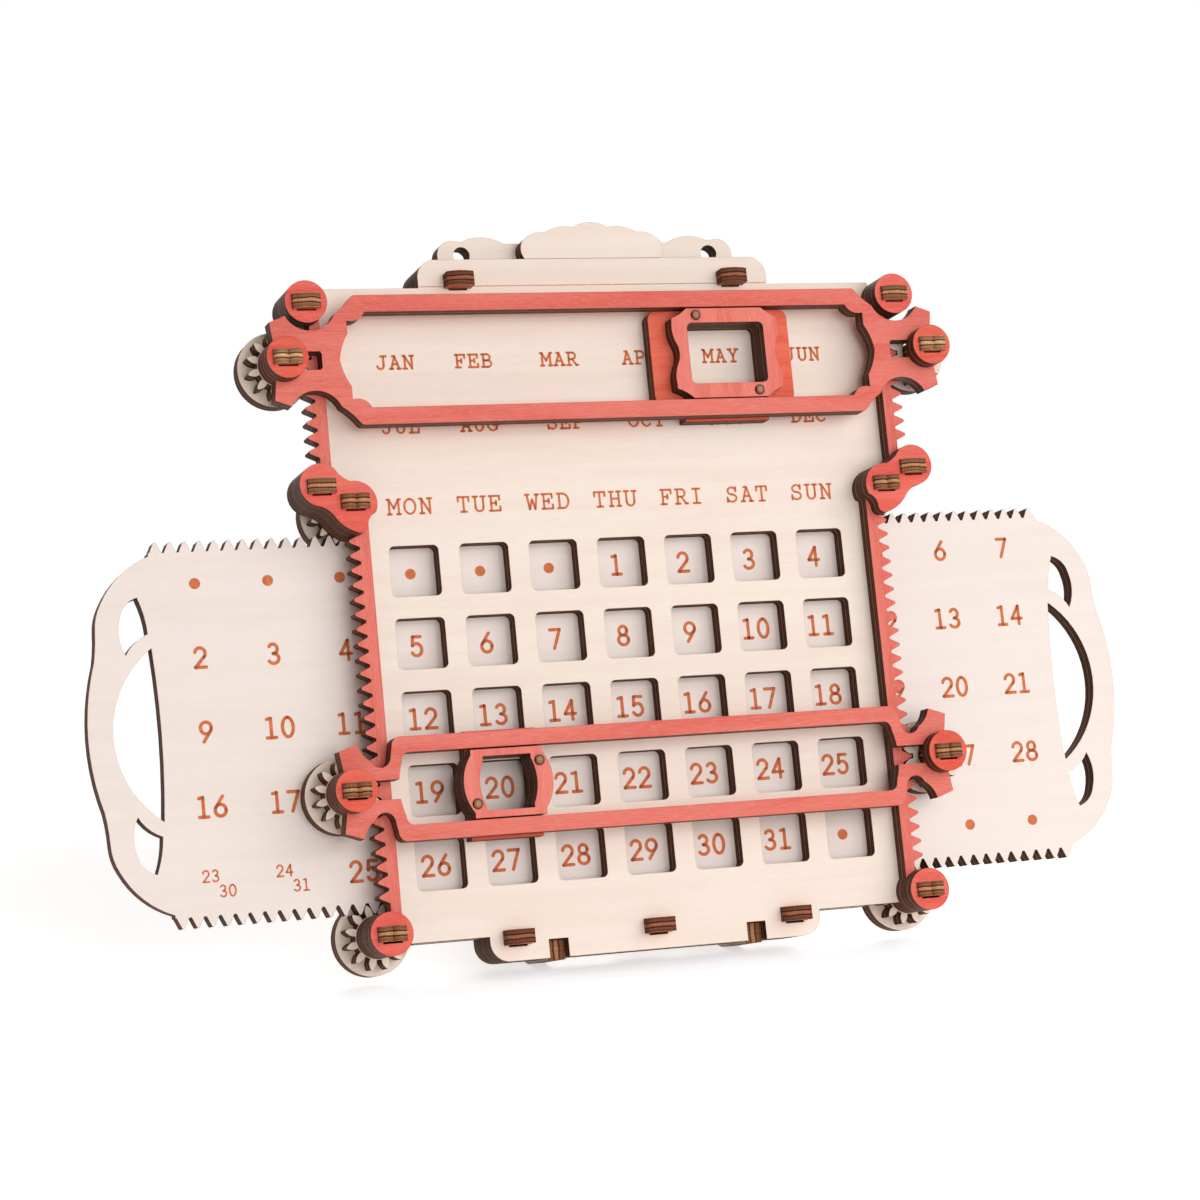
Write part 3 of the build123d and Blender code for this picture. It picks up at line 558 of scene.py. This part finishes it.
# Printed marks: each glyph is a few strokes in a box one high. A pair is a point, and a set of six is an
# elliptical arc: centre, radii, first and last angle
digitGlyphs = {
    "0": [[(0.28, 0.5, 0.28, 0.5, 90, 450)]],
    "1": [[(0.27, 1.0), (0.27, 0.0)], [(0.07, 0.955), (0.27, 1.0)], [(0.04, 0.0), (0.51, 0.0)]],
    "2": [[(0.275, 0.715, 0.265, 0.285, 168, -38), (0.0, 0.0)], [(0.0, 0.0), (0.56, 0.0)]],
    "3": [[(0.265, 0.755, 0.225, 0.245, 150, -90)], [(0.265, 0.255, 0.275, 0.255, 90, -150)]],
    "4": [[(0.40, 1.0), (0.0, 0.31)], [(0.0, 0.31), (0.57, 0.31)], [(0.41, 1.0), (0.41, 0.0)]],
    "5": [[(0.09, 1.0), (0.50, 1.0)], [(0.09, 1.0), (0.05, 0.55)], [(0.26, 0.32, 0.275, 0.32, 138, -150)]],
    "6": [[(0.28, 0.30, 0.28, 0.30, 0, 360)], [(0.42, 1.0), (0.045, 0.445)]],
    "7": [[(0.0, 1.0), (0.54, 1.0)], [(0.54, 1.0), (0.19, 0.0)]],
    "8": [[(0.28, 0.76, 0.22, 0.24, 0, 360)], [(0.28, 0.265, 0.28, 0.265, 0, 360)]],
    "9": [[(0.28, 0.70, 0.28, 0.30, 0, 360)], [(0.14, 0.0), (0.515, 0.555)]],
}
letterGlyphs = {
    "A": [[(0.12, 0.0), (0.42, 1.0)], [(0.74, 0.0), (0.42, 1.0)], [(0.24, 0.36), (0.62, 0.36)],
          [(0.24, 1.0), (0.42, 1.0)], [(0.0, 0.0), (0.26, 0.0)], [(0.60, 0.0), (0.86, 0.0)]],
    "B": [[(0.16, 0.0), (0.16, 1.0)],
          [(0.02, 1.0), (0.44, 1.0), (0.44, 0.76, 0.25, 0.24, 90, -90), (0.16, 0.52)],
          [(0.16, 0.52), (0.48, 0.52), (0.48, 0.26, 0.30, 0.26, 90, -90), (0.02, 0.0)]],
    "C": [[(0.44, 0.5, 0.38, 0.5, 42, 318)], [(0.74, 1.0), (0.74, 0.70)]],
    "D": [[(0.16, 0.0), (0.16, 1.0)],
          [(0.02, 1.0), (0.40, 1.0), (0.40, 0.5, 0.40, 0.5, 90, -90), (0.02, 0.0)]],
    "E": [[(0.16, 0.0), (0.16, 1.0)], [(0.02, 1.0), (0.74, 1.0), (0.74, 0.74)], [(0.16, 0.52), (0.50, 0.52)],
          [(0.50, 0.66), (0.50, 0.38)], [(0.02, 0.0), (0.78, 0.0), (0.78, 0.27)]],
    "F": [[(0.18, 0.0), (0.18, 1.0)], [(0.04, 1.0), (0.78, 1.0), (0.78, 0.74)], [(0.18, 0.52), (0.52, 0.52)],
          [(0.52, 0.66), (0.52, 0.38)], [(0.04, 0.0), (0.44, 0.0)]],
    "G": [[(0.43, 0.5, 0.38, 0.5, 42, 325)], [(0.72, 1.0), (0.72, 0.70)], [(0.48, 0.42), (0.86, 0.42)],
          [(0.75, 0.42), (0.75, 0.10)]],
    "H": [[(0.16, 0.0), (0.16, 1.0)], [(0.70, 0.0), (0.70, 1.0)], [(0.16, 0.52), (0.70, 0.52)],
          [(0.02, 1.0), (0.30, 1.0)], [(0.56, 1.0), (0.84, 1.0)], [(0.02, 0.0), (0.30, 0.0)],
          [(0.56, 0.0), (0.84, 0.0)]],
    "I": [[(0.43, 0.0), (0.43, 1.0)], [(0.18, 1.0), (0.68, 1.0)], [(0.18, 0.0), (0.68, 0.0)]],
    "J": [[(0.60, 1.0), (0.60, 0.30), (0.34, 0.30, 0.26, 0.30, 0, -165)], [(0.38, 1.0), (0.82, 1.0)]],
    "L": [[(0.24, 0.0), (0.24, 1.0)], [(0.06, 1.0), (0.44, 1.0)], [(0.06, 0.0), (0.78, 0.0), (0.78, 0.32)]],
    "M": [[(0.10, 0.0), (0.10, 1.0), (0.43, 0.40), (0.76, 1.0), (0.76, 0.0)], [(-0.03, 1.0), (0.10, 1.0)],
          [(0.76, 1.0), (0.89, 1.0)], [(-0.03, 0.0), (0.24, 0.0)], [(0.62, 0.0), (0.89, 0.0)]],
    "N": [[(0.14, 0.0), (0.14, 1.0), (0.70, 0.0), (0.70, 1.0)], [(0.0, 1.0), (0.14, 1.0)],
          [(0.0, 0.0), (0.29, 0.0)], [(0.55, 1.0), (0.84, 1.0)]],
    "O": [[(0.43, 0.5, 0.38, 0.5, 90, 450)]],
    "P": [[(0.18, 0.0), (0.18, 1.0)],
          [(0.03, 1.0), (0.46, 1.0), (0.46, 0.74, 0.28, 0.26, 90, -90), (0.18, 0.48)],
          [(0.03, 0.0), (0.42, 0.0)]],
    "R": [[(0.15, 0.0), (0.15, 1.0)],
          [(0.0, 1.0), (0.43, 1.0), (0.43, 0.74, 0.26, 0.26, 90, -90), (0.15, 0.48)],
          [(0.42, 0.48), (0.74, 0.0), (0.88, 0.0)], [(0.0, 0.0), (0.32, 0.0)]],
    "S": [[(0.43, 0.755, 0.29, 0.245, 28, 270), (0.43, 0.255, 0.32, 0.255, 90, -152)],
          [(0.72, 1.0), (0.72, 0.72)], [(0.10, 0.0), (0.10, 0.30)]],
    "T": [[(0.43, 0.0), (0.43, 1.0)], [(0.06, 0.72), (0.06, 1.0), (0.80, 1.0), (0.80, 0.72)],
          [(0.23, 0.0), (0.63, 0.0)]],
    "U": [[(0.15, 1.0), (0.15, 0.30), (0.43, 0.30, 0.28, 0.30, 180, 360), (0.71, 1.0)],
          [(0.0, 1.0), (0.31, 1.0)], [(0.55, 1.0), (0.86, 1.0)]],
    "V": [[(0.12, 1.0), (0.43, 0.0), (0.74, 1.0)], [(0.0, 1.0), (0.27, 1.0)], [(0.59, 1.0), (0.86, 1.0)]],
    "W": [[(0.08, 1.0), (0.23, 0.0), (0.43, 0.66), (0.63, 0.0), (0.78, 1.0)], [(-0.04, 1.0), (0.22, 1.0)],
          [(0.64, 1.0), (0.90, 1.0)]],
    "Y": [[(0.12, 1.0), (0.43, 0.47), (0.74, 1.0)], [(0.43, 0.47), (0.43, 0.0)], [(0.0, 1.0), (0.27, 1.0)],
          [(0.59, 1.0), (0.86, 1.0)], [(0.24, 0.0), (0.62, 0.0)]],
}
digits = {"glyphs": digitGlyphs, "middle": (0.28, 0.5)}
letters = {"glyphs": letterGlyphs, "middle": (0.43, 0.5)}
markSetup = {
    "proud": 0.05, "sunk": 0.03,    # millimetres before and behind the wood's face
    "capSteps": 6, "arcStep": 12.0, "joinReach": 1e-6,
    "weldReach": 1e-7, "sliverReach": 1e-8,
}


# An arc is centre plus radii times cosine and sine of evenly spaced turns. Corners part the path into runs
def strokeRuns(items):
    runs, last = [], None
    for item in items:
        if len(item) == 2:
            bend = np.array([item])
        else:
            cx, cy, rx, ry, start, end = item
            turns = np.radians(np.linspace(start, end, int(abs(end - start) / markSetup["arcStep"]) + 2))
            bend = np.stack([cx + rx * np.cos(turns), cy + ry * np.sin(turns)], axis=1)
        if last is not None and np.hypot(*(last - bend[0])) > markSetup["joinReach"]:
            runs.append(np.array([last, bend[0]]))
        if len(bend) > 1:
            runs.append(bend)
        last = bend[-1]
    return runs


# A stroke is its centre line offset by the half breadth, which shrinks as a cosine over each round end
def strokeSurface(path, half, front, back):
    way = np.gradient(path, axis=0)
    way /= np.linalg.norm(way, axis=1, keepdims=True)
    turns = np.linspace(0, math.pi / 2, markSetup["capSteps"] + 1)
    ahead, broad = np.sin(turns[1:]), np.cos(turns[1:])
    first = path[0] - way[0] * half * ahead[::-1, None]
    last = path[-1] + way[-1] * half * ahead[:, None]
    centre = np.concatenate([first, path, last])
    breadth = half * np.concatenate([broad[::-1], np.ones(len(path)), broad])
    steer = np.concatenate([np.repeat(way[:1], len(first), 0), way, np.repeat(way[-1:], len(last), 0)])
    aside = np.stack([-steer[:, 1], steer[:, 0]], axis=1) * breadth[:, None]
    ring = np.stack([centre + aside, centre + aside, centre - aside, centre - aside], axis=1)
    depth = np.broadcast_to(np.array([back, front, front, back]), ring.shape[:2])
    points = np.concatenate([ring, depth[..., None]], axis=2).reshape(-1, 3)
    around = ring.shape[1]
    corner = np.arange(around)
    firstOfRow = np.arange(len(centre) - 1)[:, None] * around
    here, beside = firstOfRow + corner, firstOfRow + (corner + 1) % around
    faces = np.stack([here, beside, beside + around, here + around], axis=2).reshape(-1, around)
    return points, faces


# Strokes of one word: glyphs side by side, centred on the given point of the face
def wordStrokes(word, x, z, style, signs):
    scale = style["height"] / (1 + style["weight"])
    step = style["advance"] * style["height"]
    pen = x - step * (len(word) - 1) / 2
    for sign in word:
        for items in signs["glyphs"][sign]:
            for run in strokeRuns(items):
                yield (run - signs["middle"]) * scale + (pen, z), style["weight"] * scale / 2
        pen += step


def tidyMesh(mesh):
    work = bmesh.new()
    work.from_mesh(mesh)
    bmesh.ops.remove_doubles(work, verts=work.verts, dist=markSetup["weldReach"])
    bmesh.ops.dissolve_degenerate(work, edges=work.edges, dist=markSetup["sliverReach"])
    bmesh.ops.recalc_face_normals(work, faces=work.faces)
    work.to_mesh(mesh)
    work.free()


def markPiece(name, strokes, depth, body, material):
    parts, faces, count = [], [], 0
    for path, half in strokes:
        points, quads = strokeSurface(path, half, depth - markSetup["proud"], depth + markSetup["sunk"])
        parts.append(points)
        faces.append(quads + count)
        count += len(points)
    x, z, deep = np.concatenate(parts).T
    mesh = bpy.data.meshes.new(name)
    mesh.from_pydata(onFace(x, z, deep).tolist(), [], np.concatenate(faces).tolist())
    tidyMesh(mesh)
    mesh.materials.append(material)
    piece = bpy.data.objects.new(name, mesh)
    scene.collection.objects.link(piece)
    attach(piece, body)


inkSetup = {
    "pores": {"scale": 900.0, "detail": 3.0, "rough": 0.6},
    "wearLimits": (0.35, 0.75), "roughLimits": (0.3, 0.7), "rough": (0.62, 0.8),
}


# Printed colour, a little uneven over the wood's pores
def inkMaterial(name, color, worn):
    material = bpy.data.materials.new(name)
    material.use_nodes = True
    tree = material.node_tree
    coords = addNode(tree, "ShaderNodeTexCoord", (-800, 0))
    pores = noiseNode(tree, (-500, 100), coords.outputs["Object"], **inkSetup["pores"])
    wear = rangeNode(tree, (-250, 100), pores, inkSetup["wearLimits"])
    feedAll(tree, tree.nodes["Principled BSDF"], {
        "Base Color": mixNode(tree, (0, 100), wear, opaque(color), opaque(worn)),
        "Roughness": rangeNode(tree, (0, -150), pores, inkSetup["roughLimits"], inkSetup["rough"]),
        "Specular IOR Level": woodSurface["shine"],
    })
    return material


stampInk = inkMaterial("stampInk", (0.600, 0.150, 0.056), (0.690, 0.225, 0.100))
scoreTone = inkMaterial("scoreTone", (0.560, 0.330, 0.190), (0.680, 0.450, 0.300))

monthNames = {
    "rows": (("JAN", "FEB", "MAR", "APR", "MAY", "JUN"), ("JUL", "AUG", "SEP", "OCT", "NOV", "DEC")),
    "heights": (77.1, 62.95), "columns": (-47.65, -29.9, -10.2, 8.75, 27.95, 47.75),
    "height": 3.3, "weight": 0.18, "advance": 0.915,
}


def monthStrokes(setup):
    for words, z in zip(setup["rows"], setup["heights"]):
        for x, word in zip(setup["columns"], words):
            yield from wordStrokes(word, x, z, setup, letters)


weekdays = {
    "words": ("MON", "TUE", "WED", "THU", "FRI", "SAT", "SUN"),
    "z": 45.45, "middle": -0.35, "pitch": 15.59, "height": 3.7, "weight": 0.15, "advance": 0.965,
}


def weekdayStrokes(setup):
    for place, word in enumerate(setup["words"]):
        x = setup["middle"] + (place - (len(setup["words"]) - 1) / 2) * setup["pitch"]
        yield from wordStrokes(word, x, setup["z"], setup, letters)


dateTable = {
    "columns": range(-6, 7), "rows": range(5), "week": 7, "last": 31,
    "single": {"height": 4.85, "weight": 0.178, "advance": 0.735},
    "pair": {"height": 2.7, "weight": 0.16, "advance": 0.735}, "pairPlaces": ((-1.4, 1.35), (2.0, -1.9)),
    "dotHalf": 1.18, "dotReach": 0.01,    # a dot is a very short stroke
}


# The table counts on by one to the right and by a week down. The last row's first cells hold two weeks each
def dateStrokes(setup):
    lastRow, week = max(setup["rows"]), setup["week"]
    for row in setup["rows"]:
        for column in setup["columns"]:
            x, z = column * cellPitch, (lastRow / 2 - row) * cellPitch
            number = week * row + column + 1
            if row == lastRow and number + week <= setup["last"]:
                for value, (dx, dz) in zip((number, number + week), setup["pairPlaces"]):
                    yield from wordStrokes(str(value), x + dx, z + dz, setup["pair"], digits)
            elif 1 <= number <= setup["last"]:
                yield from wordStrokes(str(number), x, z, setup["single"], digits)
            else:
                yield np.array([(x - setup["dotReach"], z), (x + setup["dotReach"], z)]), setup["dotHalf"]


tabScore = {"half": 40.5, "z": 93.8, "breadth": 0.24}


def scoreStrokes(setup):
    yield np.array([(-setup["half"], setup["z"]), (setup["half"], setup["z"])]), setup["breadth"] / 2


markPiece("month_names", monthStrokes(monthNames), 0.0, "body", stampInk)
markPiece("weekday_names", weekdayStrokes(weekdays), 0.0, "body", stampInk)
markPiece("date_numbers", dateStrokes(dateTable), plateDepth, "date_plate", stampInk)
markPiece("tab_score_line", scoreStrokes(tabScore), 0.0, "body", scoreTone)
print("marks printed")
